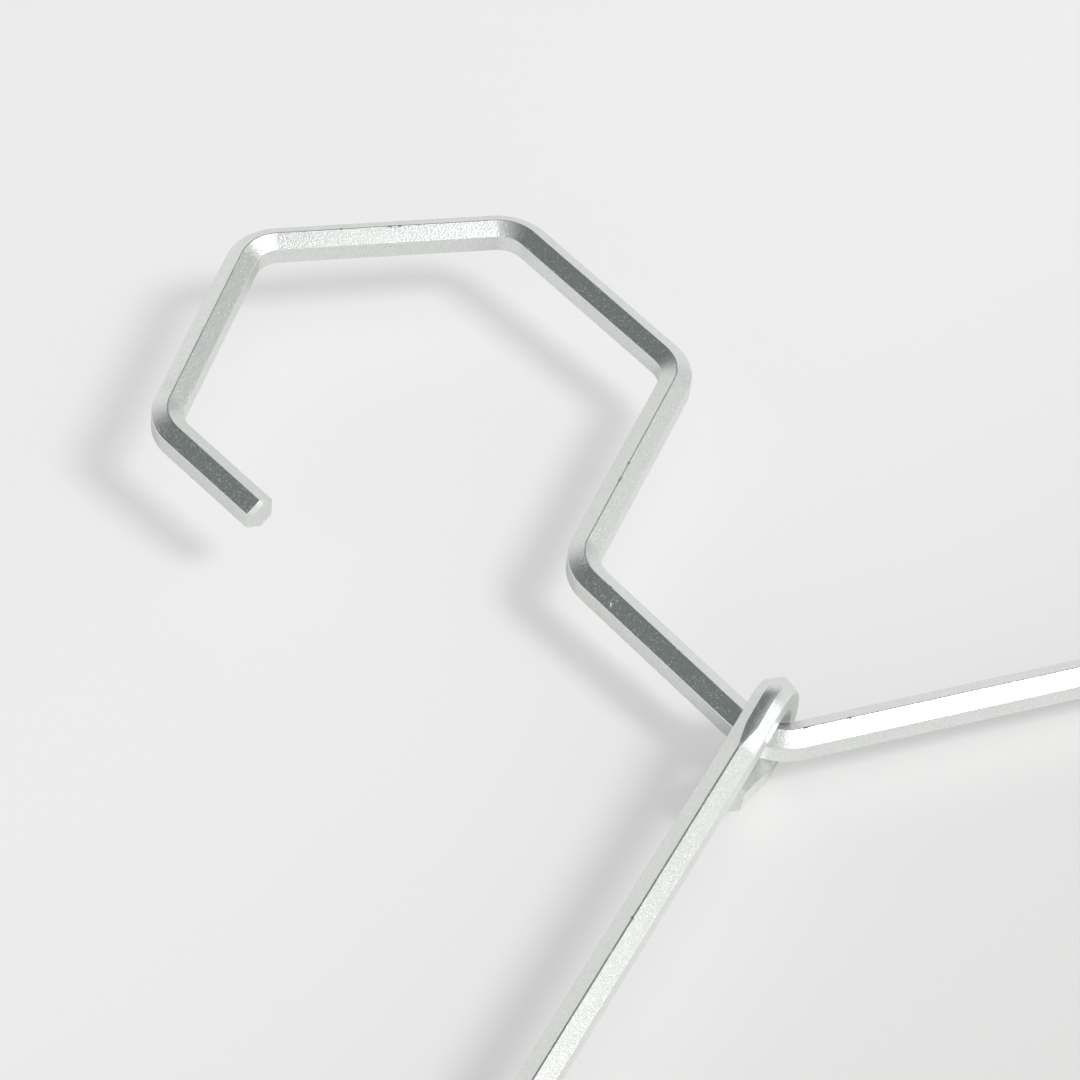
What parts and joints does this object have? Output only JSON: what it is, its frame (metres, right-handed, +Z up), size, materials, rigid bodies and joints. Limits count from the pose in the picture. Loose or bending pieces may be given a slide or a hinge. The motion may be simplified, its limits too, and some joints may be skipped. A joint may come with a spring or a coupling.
{
  "type": "trouser hanger",
  "caption": "Trouser hanger bent from hexagonal aluminium bar, with a six-sided hook and a left arm that swings forward off the trouser bar's turned-up end.",
  "frame": {"origin": "middle of the footprint, on the table that the hanger lies on", "axes": "+X along the trouser bar towards the right arm's corner, +Y towards the hook, +Z up from the table, out of the hanger's front"},
  "size_m": [0.3618, 0.1852, 0.0151],
  "materials": {
    "drawn_aluminium": "satin"
  },
  "bodies": {
    "main_rod": {"hook": "drawn_aluminium", "neck": "drawn_aluminium", "right_arm": "drawn_aluminium", "right_corner": "drawn_aluminium", "trouser_bar": "drawn_aluminium", "catch_end": "drawn_aluminium"},
    "left_arm_rod": {"left_arm": "drawn_aluminium", "swivel_eye": "drawn_aluminium", "open_hook": "drawn_aluminium"}
  },
  "joints": [
    {"name": "left_arm_swing", "type": "hinge", "parent": "main_rod", "child": "left_arm_rod", "pos_m": [0.00022, -0.00678, 0.00713], "axis": [-0.3778, 0.9243, 0.0531], "range_deg": [0, 120]}
  ]
}
